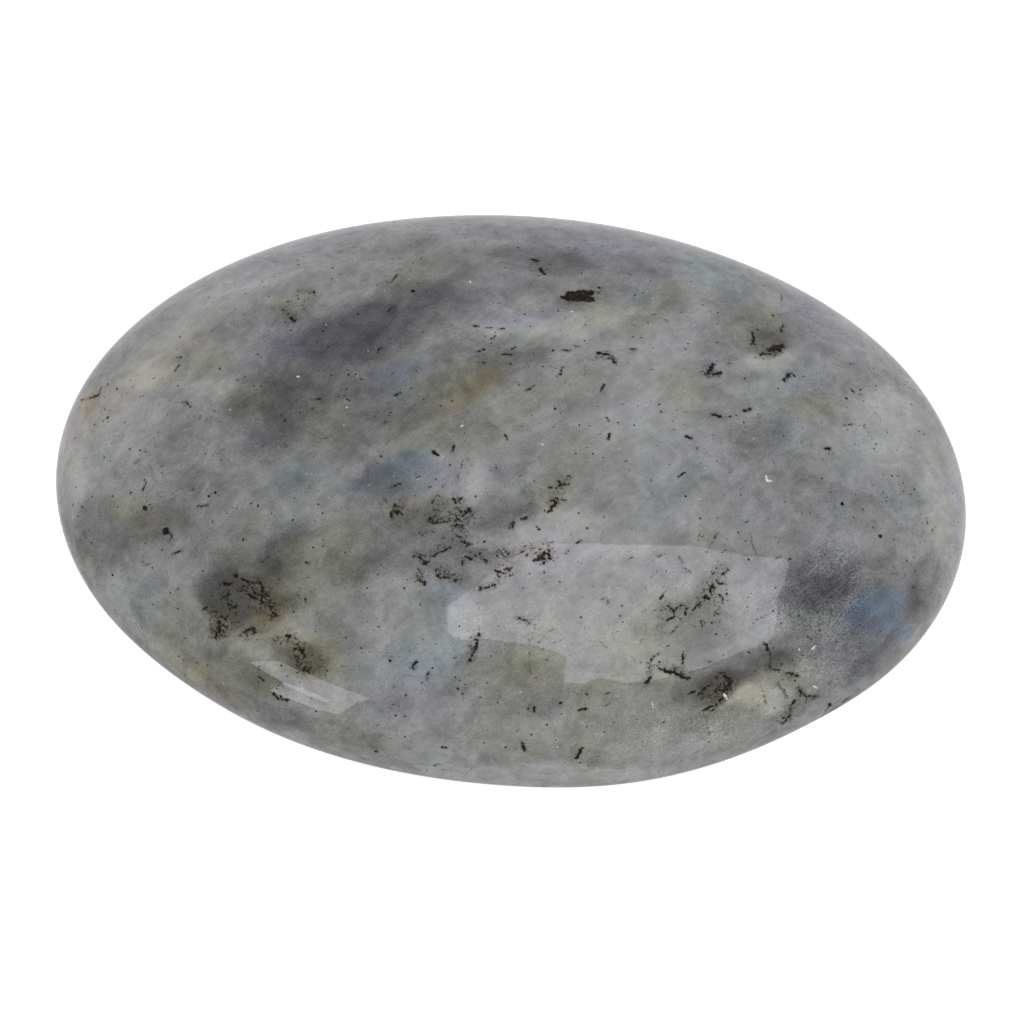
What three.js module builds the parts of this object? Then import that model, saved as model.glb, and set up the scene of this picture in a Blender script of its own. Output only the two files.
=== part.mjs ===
// A polished palm stone: one flattened, nearly elliptical pebble of feldspar, ground smooth all round.
// Millimetres, +Z up, +X along the stone. The origin is under its middle, on the surface it lies on.
import * as THREE from "three";
import { mergeVertices } from "three/addons/utils/BufferGeometryUtils.js";

// Driving dimensions
const length = 70;
const width = 47;
const thickness = 22;

// Height of the widest line, as a share of the thickness
const girthShare = 0.48;
// Roundness of the dome in section: 2 is an ellipse, and more is flatter on top with a fuller shoulder
const domePower = 2.12;
// Soft flat that the stone lies on, as a share of its length and width
const restShare = 0.2;
// The crown is a little higher towards -X, as a share of its height at the ends
const crownLean = 0.03;

// Where hand grinding left the outline off a true ellipse. "at" is an angle in degrees from +X towards +Y
// on the circle that the ellipse is stretched from, "rise" is a share of the radius, "spread" is in degrees.
const outlineDepartures = [
  { place: "far right shoulder", at: 38, rise: 0.006, spread: 20 },
  { place: "far side", at: 100, rise: -0.005, spread: 18 },
  { place: "near left flat", at: 227, rise: -0.007, spread: 14 },
  { place: "near belly", at: 287, rise: 0.011, spread: 13 },
  { place: "near right flat", at: 314, rise: -0.008, spread: 11 },
];

// Rows of triangles along each edge of the icosahedron that the surface is mapped from
const surfaceDetail = 16;

const stoneMaterial = new THREE.MeshStandardMaterial({
  name: "polished_feldspar",
  color: 0x8a8c8a,
  roughness: 0.2,
  metalness: 0,
});

// Share of the ellipse's radius at an angle of the circle it is stretched from
function outlineShare(angle) {
  let share = 1;
  for (const departure of outlineDepartures) {
    const turn = angle - THREE.MathUtils.degToRad(departure.at);
    const offset = Math.atan2(Math.sin(turn), Math.cos(turn));
    const spread = THREE.MathUtils.degToRad(departure.spread);
    share += departure.rise * Math.exp(-((offset / spread) ** 2));
  }
  return share;
}

// Height of the upper side above the widest line, from 1 over the middle to 0 at the outline
function domeShare(reach) {
  return (1 - Math.min(reach, 1) ** domePower) ** (1 / domePower);
}

// Depth of the underside below the widest line: a flat, then a quarter ellipse out to the outline
function bellyShare(reach) {
  const beyondFlat = Math.max(0, (Math.min(reach, 1) - restShare) / (1 - restShare));
  return Math.sqrt(1 - beyondFlat ** 2);
}

// Moves a point of the unit sphere to its place on the stone
function toStoneSurface(point) {
  const reach = Math.hypot(point.x, point.y);
  const share = outlineShare(Math.atan2(point.y, point.x));
  const girthHeight = thickness * girthShare;
  const crownHeight = (thickness - girthHeight) * (1 - crownLean * point.x);
  const upper = point.z > 0;
  const rise = upper ? crownHeight * domeShare(reach) : -girthHeight * bellyShare(reach);
  return point.set((length / 2) * share * point.x, (width / 2) * share * point.y, rise);
}

function stoneGeometry() {
  const ball = new THREE.IcosahedronGeometry(1, surfaceDetail);
  ball.deleteAttribute("normal");
  ball.deleteAttribute("uv");
  const surface = mergeVertices(ball);
  const positions = surface.getAttribute("position");
  const point = new THREE.Vector3();
  for (let i = 0; i < positions.count; i++) {
    toStoneSurface(point.fromBufferAttribute(positions, i));
    positions.setXYZ(i, point.x, point.y, point.z);
  }
  standOnOrigin(surface);
  surface.computeVertexNormals();
  return surface;
}

// Puts the middle of the box's underside at the origin
function standOnOrigin(geometry) {
  geometry.computeBoundingBox();
  const middle = geometry.boundingBox.getCenter(new THREE.Vector3());
  geometry.translate(-middle.x, -middle.y, -geometry.boundingBox.min.z);
}

const stone = new THREE.Mesh(stoneGeometry(), stoneMaterial);
stone.name = "stone";

const palmStone = new THREE.Group();
palmStone.add(stone);

export default palmStone;
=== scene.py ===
import math
import random

import bmesh
import bpy
import numpy as np
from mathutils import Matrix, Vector, interpolate, kdtree, noise
from mathutils.bvhtree import BVHTree


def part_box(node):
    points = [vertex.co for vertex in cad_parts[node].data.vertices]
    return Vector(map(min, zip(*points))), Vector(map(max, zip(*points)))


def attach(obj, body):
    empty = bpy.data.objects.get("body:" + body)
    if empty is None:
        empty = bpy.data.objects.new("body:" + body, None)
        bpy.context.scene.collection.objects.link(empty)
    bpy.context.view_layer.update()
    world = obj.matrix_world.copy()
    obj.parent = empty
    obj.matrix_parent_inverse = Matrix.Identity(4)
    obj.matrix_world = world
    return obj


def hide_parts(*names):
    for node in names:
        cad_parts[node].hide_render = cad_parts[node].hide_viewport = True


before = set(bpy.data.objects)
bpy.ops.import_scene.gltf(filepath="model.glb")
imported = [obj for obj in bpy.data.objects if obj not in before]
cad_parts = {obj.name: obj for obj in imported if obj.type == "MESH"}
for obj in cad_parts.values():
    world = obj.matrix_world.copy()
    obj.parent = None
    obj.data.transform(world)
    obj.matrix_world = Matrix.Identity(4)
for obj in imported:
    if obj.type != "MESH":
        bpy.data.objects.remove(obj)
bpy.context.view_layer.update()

photoSize = 1024  # pixels along each side of the picture
millimetre = 0.001

# camera

cameraView = {
    "elevation": 65,  # degrees above the table
    "azimuth": 4.5,  # degrees round to the right of straight on
    "lens": 100,  # millimetres, on the sensor below
    "sensor": 36,
    "distance": 0.21854,  # from the middle of the stone
    "middlePixel": (509.67, 489.29),  # where the middle of the stone shows
}

stoneLow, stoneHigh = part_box("stone")
stoneMiddle = (stoneLow + stoneHigh) / 2
turn = math.radians(cameraView["azimuth"])
lift = math.radians(cameraView["elevation"])
towardCamera = Vector((math.sin(turn) * math.cos(lift), -math.cos(turn) * math.cos(lift), math.sin(lift)))
cameraRight = Vector((math.cos(turn), math.sin(turn), 0))
cameraUp = towardCamera.cross(cameraRight)
focalPixels = cameraView["lens"] / cameraView["sensor"] * photoSize
pixelSize = cameraView["distance"] / focalPixels  # metres across one pixel at the stone's middle


def cameraPlace():
    across = (photoSize / 2 - cameraView["middlePixel"][0]) * pixelSize
    along = (cameraView["middlePixel"][1] - photoSize / 2) * pixelSize
    return stoneMiddle + towardCamera * cameraView["distance"] + cameraRight * across + cameraUp * along


cameraSpot = cameraPlace()


def makeCamera():
    data = bpy.data.cameras.new("photo_camera")
    data.lens = cameraView["lens"]
    data.sensor_width = cameraView["sensor"]
    data.clip_start = 0.01
    data.clip_end = 50
    camera = bpy.data.objects.new("photo_camera", data)
    camera.location = cameraSpot
    camera.rotation_mode = "QUATERNION"
    camera.rotation_quaternion = (-towardCamera).to_track_quat("-Z", "Y")
    bpy.context.collection.objects.link(camera)
    bpy.context.scene.camera = camera


def pixelRay(x, y):
    across = (x - photoSize / 2) / focalPixels
    along = (photoSize / 2 - y) / focalPixels
    return (cameraRight * across + cameraUp * along - towardCamera).normalized()


makeCamera()
print("camera set at", [round(c, 4) for c in cameraSpot])


# shader sockets as Python values

class Wire:
    def __init__(self, tree, socket=None):
        self.tree = tree
        self.socket = socket

    # one node of any type: settings first, then values or links of its sockets
    def make(self, kind, settings=None, values=None, out=0):
        node = self.tree.nodes.new(kind)
        for name, value in (settings or {}).items():
            setattr(node, name, value)
        for name, value in (values or {}).items():
            if isinstance(value, Wire):
                self.tree.links.new(value.socket, node.inputs[name])
            else:
                node.inputs[name].default_value = value
        return Wire(self.tree, node.outputs[out] if len(node.outputs) else None)

    def also(self, out):
        return Wire(self.tree, self.socket.node.outputs[out])

    def combine(self, operation, first, second):
        return self.make("ShaderNodeMath", {"operation": operation}, {0: first, 1: second})

    def __add__(self, other):
        return self.combine("ADD", self, other)

    def __radd__(self, other):
        return self.combine("ADD", other, self)

    def __sub__(self, other):
        return self.combine("SUBTRACT", self, other)

    def __rsub__(self, other):
        return self.combine("SUBTRACT", other, self)

    def __mul__(self, other):
        return self.combine("MULTIPLY", self, other)

    def __rmul__(self, other):
        return self.combine("MULTIPLY", other, self)

    # 0 before start and 1 past end, smooth between; start may be the larger
    def step(self, start, end):
        values = {"Value": self, "From Min": start, "From Max": end}
        return self.make("ShaderNodeMapRange", {"interpolation_type": "SMOOTHSTEP"}, values)

    # the same in a straight line
    def ramp(self, start, end):
        return self.make("ShaderNodeMapRange", None, {"Value": self, "From Min": start, "From Max": end})

    def mix(self, share, first, second, blend="MIX"):
        settings = {"data_type": "RGBA", "blend_type": blend}
        return self.make("ShaderNodeMix", settings, {0: share, 6: first, 7: second}, out=2)

    def scaled(self, amount):
        return self.make("ShaderNodeVectorMath", {"operation": "SCALE"}, {0: self, "Scale": amount})


def newMaterial(name):
    material = bpy.data.materials.new(name)
    material.use_nodes = True
    material.node_tree.nodes.clear()
    return material, Wire(material.node_tree)


# stone: the form

stoneForm = {
    "length": 0.070,
    "width": 0.047,
    "thickness": 0.022,
    "girthShare": 0.48,  # height of the widest line
    "domePower": 2.12,  # fuller shoulder than an ellipse
    "restShare": 0.2,  # soft flat underneath
    "crownLean": 0.03,  # crown a little higher towards -X
    # angle in degrees, rise as a share of the radius, spread in degrees
    "departures": [
        (38, 0.006, 20), (100, -0.005, 18), (227, -0.007, 14), (287, 0.011, 13), (314, -0.008, 11),
    ],
    "roundSteps": 7,  # halvings of the ball that the surface is mapped from
    "markMargins": [0.20, 0.10, 0.035],  # mm round the dark marks for each further halving
    "waveHeight": 0.010,  # mm, from polishing by hand
    "waveLength": 9,  # mm
    "pitDepth": 0.05,  # mm, where dark mineral pulled out under the polish
    "pitSlope": 0.16,  # mm in from a mark's edge to the full depth
    "chip": {"pixel": (830, 711), "reach": 0.75, "depth": 0.22},  # mm
}


def stoneSurface(units):
    x, y, z = units.T
    reach = np.minimum(np.hypot(x, y), 1)
    angle = np.arctan2(y, x)
    share = np.ones_like(x)
    for at, rise, spread in stoneForm["departures"]:
        offset = angle - math.radians(at)
        offset = np.arctan2(np.sin(offset), np.cos(offset))
        share += rise * np.exp(-(offset / math.radians(spread)) ** 2)
    power = stoneForm["domePower"]
    girth = stoneForm["thickness"] * stoneForm["girthShare"]
    crown = (stoneForm["thickness"] - girth) * (1 - stoneForm["crownLean"] * x)
    dome = np.maximum(0, 1 - reach ** power) ** (1 / power)
    beyondFlat = np.maximum(0, (reach - stoneForm["restShare"]) / (1 - stoneForm["restShare"]))
    belly = np.sqrt(np.maximum(0, 1 - beyondFlat ** 2))
    height = np.where(z > 0, crown * dome, -girth * belly)
    points = np.stack([stoneForm["length"] / 2 * share * x, stoneForm["width"] / 2 * share * y, height], 1)
    middle = (points.min(0) + points.max(0)) / 2
    stand = np.array([stoneMiddle.x - middle[0], stoneMiddle.y - middle[1], stoneLow.z + girth])
    return points + stand


def unitPoints(ball):
    units = np.array([v.co for v in ball.verts])
    return units / np.linalg.norm(units, axis=1)[:, None]


def faceCorners(ball):
    ball.verts.index_update()
    return [[v.index for v in face.verts] for face in ball.faces]


def pointNormals(points, faces):
    corners = np.array(faces)
    a, b, c = points[corners[:, 0]], points[corners[:, 1]], points[corners[:, 2]]
    facing = np.cross(b - a, c - a)
    normals = np.zeros_like(points)
    for column in range(3):
        np.add.at(normals, corners[:, column], facing)
    return normals / np.linalg.norm(normals, axis=1)[:, None]


ball = bmesh.new()
bmesh.ops.create_icosphere(ball, subdivisions=stoneForm["roundSteps"], radius=1)
plainPoints = stoneSurface(unitPoints(ball))
plainFaces = faceCorners(ball)
plainNormals = pointNormals(plainPoints, plainFaces)
plainSurface = BVHTree.FromPolygons(plainPoints.tolist(), plainFaces)
print("stone mapped from", len(plainFaces), "faces")


# where a pixel of the photograph falls on the stone, and the stone's normal there
def onStone(x, y):
    ray = pixelRay(x, y)
    place, facet, face, gap = plainSurface.ray_cast(cameraSpot, ray)
    if place is None:  # just off the rim
        place, facet, face, gap = plainSurface.find_nearest(cameraSpot + ray * cameraView["distance"])
    corners = plainFaces[face]
    weights = interpolate.poly_3d_calc([Vector(plainPoints[i]) for i in corners], place)
    normal = Vector(sum(w * plainNormals[i] for w, i in zip(weights, corners)))
    return place, normal.normalized()


# stone: dark mineral, read off the photograph in its pixels

darkMarks = {
    # x, y, x, y, half width
    "strokes": [
        # left end
        (81, 400, 92, 397, 0.9), (92, 397, 98, 395, 1.6), (98, 394, 102, 386, 0.8),
        (183, 402, 188, 403, 1.2), (188, 403, 190, 407, 1.1), (199, 420, 201, 414, 0.9),
        (146, 482, 142, 491, 0.8), (141, 459, 134, 462, 0.7), (197, 506, 207, 505, 1.0),
        (169, 532, 172, 536, 0.9), (172, 536, 170, 541, 0.9), (173, 554, 181, 551, 1.0),
        (176, 357, 181, 357, 0.9), (175, 371, 179, 366, 1.0), (145, 565, 151, 565, 0.6),
        # slate band and far side
        (387, 311, 394, 306, 1.0), (397, 275, 392, 281, 0.8), (392, 281, 387, 284, 0.8),
        (378, 353, 381, 347, 1.1), (312, 399, 321, 399, 0.9), (284, 421, 290, 415, 0.9),
        (384, 423, 391, 412, 0.7), (395, 395, 401, 393, 1.2), (291, 318, 295, 321, 2.2),
        (533, 260, 537, 261, 2.6), (541, 268, 545, 274, 1.9), (570, 294, 590, 293, 5.2),
        (568, 298, 590, 299, 5.2), (563, 297, 568, 299, 2.6),
        # dashes across the crown
        (473, 326, 478, 326, 1.5), (498, 329, 504, 329, 1.0), (487, 328, 492, 328, 0.7),
        (491, 339, 495, 336, 0.9), (477, 352, 484, 349, 1.1), (502, 354, 511, 355, 0.9),
        (477, 362, 484, 363, 0.9), (563, 350, 570, 351, 1.2), (575, 346, 581, 347, 1.0),
        (512, 349, 516, 347, 1.1), (526, 391, 534, 386, 1.3), (562, 368, 561, 373, 0.8),
        (561, 373, 556, 376, 0.8), (598, 353, 609, 354, 2.0), (611, 357, 614, 362, 1.6),
        (630, 349, 636, 349, 1.4), (601, 391, 604, 385, 1.3), (607, 417, 609, 421, 1.3),
        (609, 434, 608, 439, 1.3),
        # far right
        (752, 333, 753, 342, 1.9), (769, 350, 783, 346, 3.2), (774, 347, 780, 351, 2.6),
        (781, 295, 782, 301, 0.7), (783, 324, 781, 333, 1.2), (709, 372, 713, 364, 2.4),
        (714, 374, 721, 372, 1.9), (784, 380, 791, 373, 1.5), (791, 373, 794, 376, 1.4),
        (714, 414, 721, 417, 1.9), (744, 411, 750, 409, 1.6), (687, 436, 692, 439, 1.9),
        (697, 448, 698, 453, 0.8), (679, 476, 684, 472, 1.2), (843, 425, 852, 424, 0.8),
        (825, 449, 830, 448, 1.4), (851, 389, 854, 392, 1.2),
        # middle
        (452, 450, 453, 446, 1.3), (434, 452, 438, 456, 1.7), (391, 487, 396, 485, 0.9),
        (396, 485, 401, 484, 0.8), (395, 503, 393, 511, 1.0), (395, 503, 398, 511, 0.9),
        (391, 513, 392, 518, 1.6), (398, 511, 402, 514, 1.0), (392, 512, 398, 514, 1.3),
        (432, 503, 437, 496, 0.6), (428, 520, 433, 518, 1.2), (430, 516, 432, 521, 1.1),
        (433, 523, 440, 523, 1.6), (443, 522, 450, 521, 1.1), (453, 525, 459, 524, 1.3),
        (457, 518, 462, 522, 1.4), (459, 526, 463, 524, 1.2), (463, 515, 468, 510, 2.0),
        (455, 508, 458, 511, 1.0), (468, 508, 470, 512, 1.3), (453, 498, 456, 503, 1.4),
        (459, 501, 462, 498, 1.3), (458, 536, 464, 541, 1.0), (461, 541, 467, 544, 1.5),
        (466, 546, 472, 545, 0.8), (433, 555, 440, 551, 1.3), (440, 551, 444, 552, 0.8),
        (444, 551, 450, 547, 1.2), (414, 557, 420, 557, 1.1), (420, 557, 426, 564, 1.1),
        (423, 564, 428, 561, 1.0), (419, 568, 417, 575, 0.6), (417, 576, 420, 580, 1.5),
        (422, 581, 426, 584, 1.3), (437, 575, 441, 577, 1.3), (443, 577, 451, 578, 1.3),
        (454, 581, 458, 580, 0.9), (440, 569, 442, 566, 0.8), (465, 556, 471, 559, 1.6),
        (479, 553, 480, 559, 1.2), (484, 560, 487, 562, 1.4), (461, 561, 462, 565, 1.1),
        (497, 556, 500, 552, 1.0), (500, 553, 506, 552, 1.5), (505, 556, 510, 552, 1.1),
        (495, 571, 500, 572, 1.4), (497, 575, 500, 577, 0.9), (507, 567, 510, 570, 1.5),
        (511, 575, 513, 574, 1.2), (480, 592, 481, 587, 1.0), (481, 588, 488, 588, 1.3),
        (488, 588, 494, 585, 1.1), (492, 583, 494, 587, 0.9), (519, 553, 524, 551, 0.8),
        (523, 550, 527, 549, 0.8), (526, 555, 528, 553, 0.8), (530, 548, 534, 549, 0.7),
        (534, 560, 543, 558, 1.8), (539, 559, 545, 553, 1.6), (544, 555, 549, 550, 1.5),
        (547, 553, 549, 559, 1.4), (541, 564, 545, 561, 1.1), (549, 549, 550, 546, 0.9),
        (548, 502, 554, 500, 1.3), (554, 501, 558, 499, 1.4), (556, 502, 551, 509, 1.9),
        (549, 511, 552, 509, 1.6), (559, 500, 566, 500, 1.0), (559, 481, 562, 486, 1.5),
        (562, 486, 568, 484, 1.5), (566, 480, 568, 476, 1.2), (566, 478, 571, 478, 0.9),
        (549, 487, 552, 488, 1.3), (512, 527, 514, 521, 1.2), (509, 528, 511, 524, 0.9),
        (522, 519, 527, 518, 1.5), (539, 530, 540, 528, 1.2), (536, 526, 538, 527, 0.7),
        (505, 434, 507, 439, 0.8), (577, 543, 580, 540, 0.9),
        # lower left
        (233, 575, 237, 576, 1.2), (236, 577, 238, 572, 1.0), (225, 583, 230, 585, 1.6),
        (241, 578, 248, 582, 1.4), (240, 587, 242, 589, 1.2), (248, 594, 256, 598, 1.6),
        (252, 588, 256, 594, 1.3), (256, 598, 262, 601, 1.6), (262, 584, 263, 590, 1.4),
        (263, 590, 262, 598, 1.3), (256, 592, 262, 594, 1.0), (265, 594, 270, 597, 1.0),
        (262, 603, 269, 602, 0.9), (269, 602, 271, 607, 1.5), (271, 607, 272, 613, 0.8),
        (272, 616, 278, 615, 1.3), (276, 612, 278, 616, 0.9), (224, 598, 230, 594, 1.4),
        (203, 609, 206, 608, 1.5), (211, 613, 217, 611, 1.4), (230, 609, 236, 606, 1.6),
        (218, 618, 222, 617, 1.5), (222, 617, 227, 622, 1.4), (219, 622, 218, 630, 1.8),
        (215, 631, 217, 635, 1.8), (222, 626, 220, 633, 1.4), (238, 635, 246, 631, 1.2),
        (246, 631, 253, 629, 1.4), (251, 627, 254, 632, 0.9), (286, 636, 290, 637, 1.8),
        (288, 640, 289, 636, 1.2), (274, 641, 278, 639, 0.9), (272, 645, 273, 642, 0.7),
        (295, 649, 300, 648, 1.5), (300, 648, 303, 652, 2.0), (303, 652, 305, 657, 1.5),
        (303, 670, 310, 673, 1.1), (259, 677, 263, 680, 1.6), (273, 694, 278, 699, 1.2),
        (281, 699, 288, 700, 1.3), (306, 598, 306, 602, 0.9), (306, 562, 309, 564, 1.1),
        (262, 562, 268, 557, 0.8),
        # near side
        (412, 666, 416, 661, 1.6), (427, 679, 429, 673, 1.1), (479, 634, 475, 650, 1.7),
        (475, 650, 469, 662, 1.3), (519, 618, 528, 623, 1.0), (529, 711, 531, 705, 0.9),
        (534, 712, 535, 706, 0.9), (442, 748, 447, 748, 1.3), (435, 766, 440, 764, 0.9),
        (522, 743, 525, 750, 1.6), (582, 748, 577, 757, 2.0), (579, 710, 586, 708, 1.5),
        (605, 706, 609, 704, 0.7), (537, 786, 547, 786, 1.4), (576, 543, 581, 540, 1.0),
        # under the bright reflection
        (660, 599, 663, 593, 0.9), (664, 604, 669, 607, 1.0), (669, 607, 673, 611, 1.3),
        (674, 612, 673, 617, 1.1), (673, 617, 668, 620, 1.7), (670, 635, 675, 628, 0.5),
        (675, 628, 683, 621, 0.4), (675, 610, 680, 606, 0.7), (680, 606, 685, 606, 1.2),
        (679, 556, 682, 563, 0.6), (682, 563, 685, 569, 0.8), (683, 572, 690, 571, 0.9),
        (721, 576, 729, 569, 1.0), (716, 581, 720, 583, 1.6), (720, 583, 725, 583, 1.4),
        (712, 585, 710, 591, 1.7), (705, 597, 709, 599, 2.0), (714, 591, 719, 594, 0.8),
        (719, 594, 723, 598, 0.9), (723, 598, 722, 603, 1.0), (704, 601, 698, 605, 1.0),
        (698, 605, 694, 611, 1.1), (718, 608, 717, 612, 0.6), (701, 620, 702, 627, 0.9),
        (702, 621, 706, 623, 0.7), (762, 617, 766, 615, 0.9), (650, 672, 649, 663, 0.7),
        (649, 663, 654, 656, 0.9), (654, 656, 660, 653, 0.8), (646, 682, 651, 678, 1.9),
        (658, 668, 664, 671, 1.0), (664, 671, 669, 673, 1.6), (669, 673, 676, 673, 1.7),
        (672, 664, 675, 671, 0.6), (683, 655, 683, 660, 1.5), (682, 664, 677, 672, 0.7),
        (676, 674, 687, 678, 1.9), (608, 600, 609, 604, 0.7), (566, 553, 569, 557, 0.7),
        (656, 557, 661, 554, 0.6),
        # lower right
        (763, 643, 767, 645, 1.1), (767, 645, 769, 649, 1.8), (769, 649, 771, 652, 1.2),
        (770, 652, 770, 664, 0.8), (770, 664, 772, 669, 1.2), (772, 669, 779, 670, 1.2),
        (705, 662, 713, 662, 0.5), (720, 673, 724, 672, 1.2), (717, 677, 716, 681, 1.0),
        (724, 676, 729, 678, 2.0), (729, 678, 732, 681, 1.6), (731, 683, 727, 687, 2.0),
        (727, 687, 724, 693, 1.8), (716, 691, 725, 691, 1.8), (700, 694, 704, 688, 1.7),
        (704, 688, 712, 683, 1.3), (687, 694, 695, 692, 1.2), (722, 697, 716, 704, 0.9),
        (703, 711, 709, 707, 1.2), (709, 707, 712, 706, 1.6), (712, 711, 715, 708, 1.0),
        (787, 674, 798, 676, 1.5), (798, 687, 803, 694, 1.1), (803, 694, 805, 697, 1.4),
        (808, 696, 817, 697, 1.7), (791, 705, 795, 700, 1.4), (791, 706, 790, 717, 1.1),
        (783, 724, 787, 719, 1.6), (787, 719, 790, 715, 1.9), (829, 704, 828, 712, 2.4),
        (843, 702, 847, 699, 1.7), (808, 637, 811, 638, 1.2), (776, 559, 781, 557, 0.6),
        (788, 560, 791, 560, 0.6), (926, 518, 927, 523, 0.8),
    ],
    # x, y, half width
    "dots": [
        (108, 384, 1.2), (117, 389, 1.8), (110, 410, 1.2), (103, 422, 1.4), (107, 418, 1.6),
        (108, 422, 1.1), (130, 449, 1.3), (145, 452, 1.5), (112, 443, 1.1), (110, 461, 0.9),
        (126, 461, 0.8), (131, 493, 1.6), (113, 496, 1.3), (145, 508, 3.3), (150, 504, 1.1),
        (152, 508, 1.1), (166, 531, 4.4), (73, 505, 1.3), (82, 507, 1.4), (86, 537, 1.2), (92, 543, 1.4),
        (84, 560, 1.1), (113, 575, 1.5), (84, 572, 1.0), (215, 492, 1.5), (209, 496, 1.9),
        (218, 496, 1.2), (194, 524, 1.0), (212, 515, 1.0), (173, 559, 1.1), (137, 513, 1.4),
        (224, 284, 1.2), (314, 293, 2.3), (298, 298, 1.8), (283, 310, 1.7), (289, 314, 1.5),
        (286, 322, 1.5), (303, 309, 1.3), (291, 330, 1.4), (244, 314, 1.1), (258, 315, 1.1),
        (235, 324, 1.0), (269, 331, 1.1), (258, 354, 1.1), (261, 357, 1.4), (221, 368, 1.7),
        (237, 380, 1.4), (245, 377, 1.1), (254, 386, 1.2), (261, 386, 1.2), (317, 342, 1.3),
        (323, 331, 2.0), (358, 314, 1.5), (343, 320, 1.2), (370, 323, 1.4), (328, 346, 1.2),
        (340, 337, 1.2), (413, 291, 2.6), (371, 359, 1.2), (370, 369, 1.0), (347, 371, 1.5),
        (348, 375, 1.4), (356, 375, 1.3), (362, 379, 1.2), (346, 399, 2.0), (350, 401, 1.7),
        (298, 412, 1.3), (301, 413, 1.4), (393, 373, 1.3), (412, 388, 1.2), (381, 457, 1.4),
        (313, 456, 1.0), (421, 260, 1.9), (431, 268, 1.0), (427, 292, 1.2), (453, 325, 1.2),
        (457, 288, 0.9), (475, 330, 1.0), (491, 343, 1.0), (526, 348, 1.1), (531, 352, 1.1),
        (510, 364, 1.4), (550, 265, 1.2), (599, 288, 1.9), (553, 351, 1.7), (585, 341, 1.0),
        (548, 340, 1.0), (547, 360, 1.2), (563, 367, 1.2), (519, 385, 1.0), (559, 399, 1.2),
        (555, 409, 1.4), (560, 413, 1.0), (441, 406, 1.2), (428, 395, 1.2), (631, 275, 1.2),
        (652, 315, 1.4), (655, 314, 1.1), (649, 323, 1.0), (667, 321, 1.5), (617, 365, 1.0),
        (628, 356, 1.5), (760, 355, 2.4), (773, 315, 1.8), (777, 310, 1.1), (730, 366, 1.4),
        (744, 378, 1.8), (634, 425, 1.4), (812, 319, 1.0), (815, 337, 1.0), (849, 353, 1.0),
        (850, 364, 1.6), (884, 370, 1.2), (846, 398, 1.6), (861, 390, 1.1), (860, 395, 1.0),
        (863, 401, 1.2), (847, 407, 1.1), (814, 397, 1.2), (865, 424, 1.1), (876, 444, 1.1),
        (887, 432, 1.2), (919, 431, 1.3), (924, 434, 1.1), (935, 428, 0.9), (730, 417, 1.5),
        (758, 414, 1.2), (693, 436, 1.0), (685, 496, 1.7), (618, 473, 1.1), (651, 480, 1.0),
        (479, 442, 1.0), (485, 542, 1.2), (422, 535, 1.2), (407, 522, 1.2), (497, 489, 1.1),
        (553, 522, 1.1), (842, 504, 2.5), (854, 517, 1.4), (861, 523, 1.2), (880, 536, 2.8),
        (828, 527, 1.1), (749, 560, 1.7), (915, 571, 1.4), (907, 595, 1.1), (853, 585, 1.3),
        (830, 591, 1.0), (860, 597, 0.9), (870, 612, 0.9), (900, 609, 0.9), (892, 476, 1.0),
        (258, 505, 1.4), (197, 663, 1.5), (179, 657, 1.2), (367, 570, 1.2), (373, 572, 1.0),
        (378, 575, 1.2), (420, 604, 1.5), (345, 637, 1.7), (368, 621, 1.0), (390, 661, 2.0),
        (394, 687, 1.3), (374, 703, 1.0), (455, 677, 1.6), (460, 680, 1.2), (465, 684, 1.1),
        (458, 689, 1.7), (463, 694, 1.3), (498, 702, 1.1), (376, 752, 2.0), (506, 747, 1.4),
        (402, 739, 1.0), (354, 745, 1.1), (560, 703, 1.6), (569, 693, 1.1), (582, 690, 1.1),
        (587, 694, 1.6), (561, 714, 1.2), (543, 729, 1.1), (587, 727, 1.1), (681, 761, 1.2),
        (687, 768, 1.2), (704, 668, 1.2), (749, 652, 1.6), (860, 647, 1.0), (664, 722, 1.2),
        (257, 711, 1.0), (264, 714, 1.1), (244, 540, 1.6), (281, 644, 1.6), (292, 644, 1.2),
        (286, 659, 1.4), (842, 427, 0.9), (886, 430, 1.0), (930, 446, 0.9), (929, 412, 0.8),
        (829, 453, 1.0), (813, 457, 0.8), (891, 475, 1.0), (899, 485, 1.2), (905, 487, 1.0),
        (911, 494, 1.0), (914, 489, 0.9), (883, 493, 1.0), (763, 497, 1.0), (765, 501, 0.8),
        (786, 502, 0.9), (825, 496, 0.9), (810, 512, 1.0), (803, 513, 0.8), (706, 398, 0.9),
        (872, 359, 0.9), (905, 385, 0.8), (204, 447, 0.9), (205, 454, 1.0), (222, 451, 0.9),
        (198, 470, 0.8), (158, 432, 0.9), (271, 513, 0.9), (312, 480, 0.9), (894, 480, 0.8),
        (714, 330, 0.8), (274, 693, 1.8), (280, 696, 1.6), (288, 699, 1.4), (277, 685, 1.5),
        (325, 675, 1.4), (327, 671, 1.0), (347, 542, 1.2), (313, 547, 1.0), (287, 600, 1.1),
        (295, 605, 0.9), (302, 612, 1.0), (316, 712, 1.5), (318, 706, 1.1), (226, 650, 1.1),
        (385, 500, 1.4), (417, 493, 1.1), (481, 504, 1.2), (475, 523, 1.4), (492, 520, 0.9),
        (565, 493, 1.1), (534, 482, 0.9), (404, 587, 1.0), (530, 573, 1.3), (531, 579, 0.9),
        (622, 586, 1.0), (593, 586, 0.9), (603, 592, 0.8), (686, 614, 2.0), (683, 663, 1.5),
        (726, 593, 1.2), (717, 614, 1.4), (711, 623, 1.1), (714, 628, 1.0), (716, 634, 1.4),
        (692, 625, 1.2), (738, 664, 0.9), (795, 681, 1.3), (802, 541, 0.9), (797, 556, 0.9),
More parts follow.
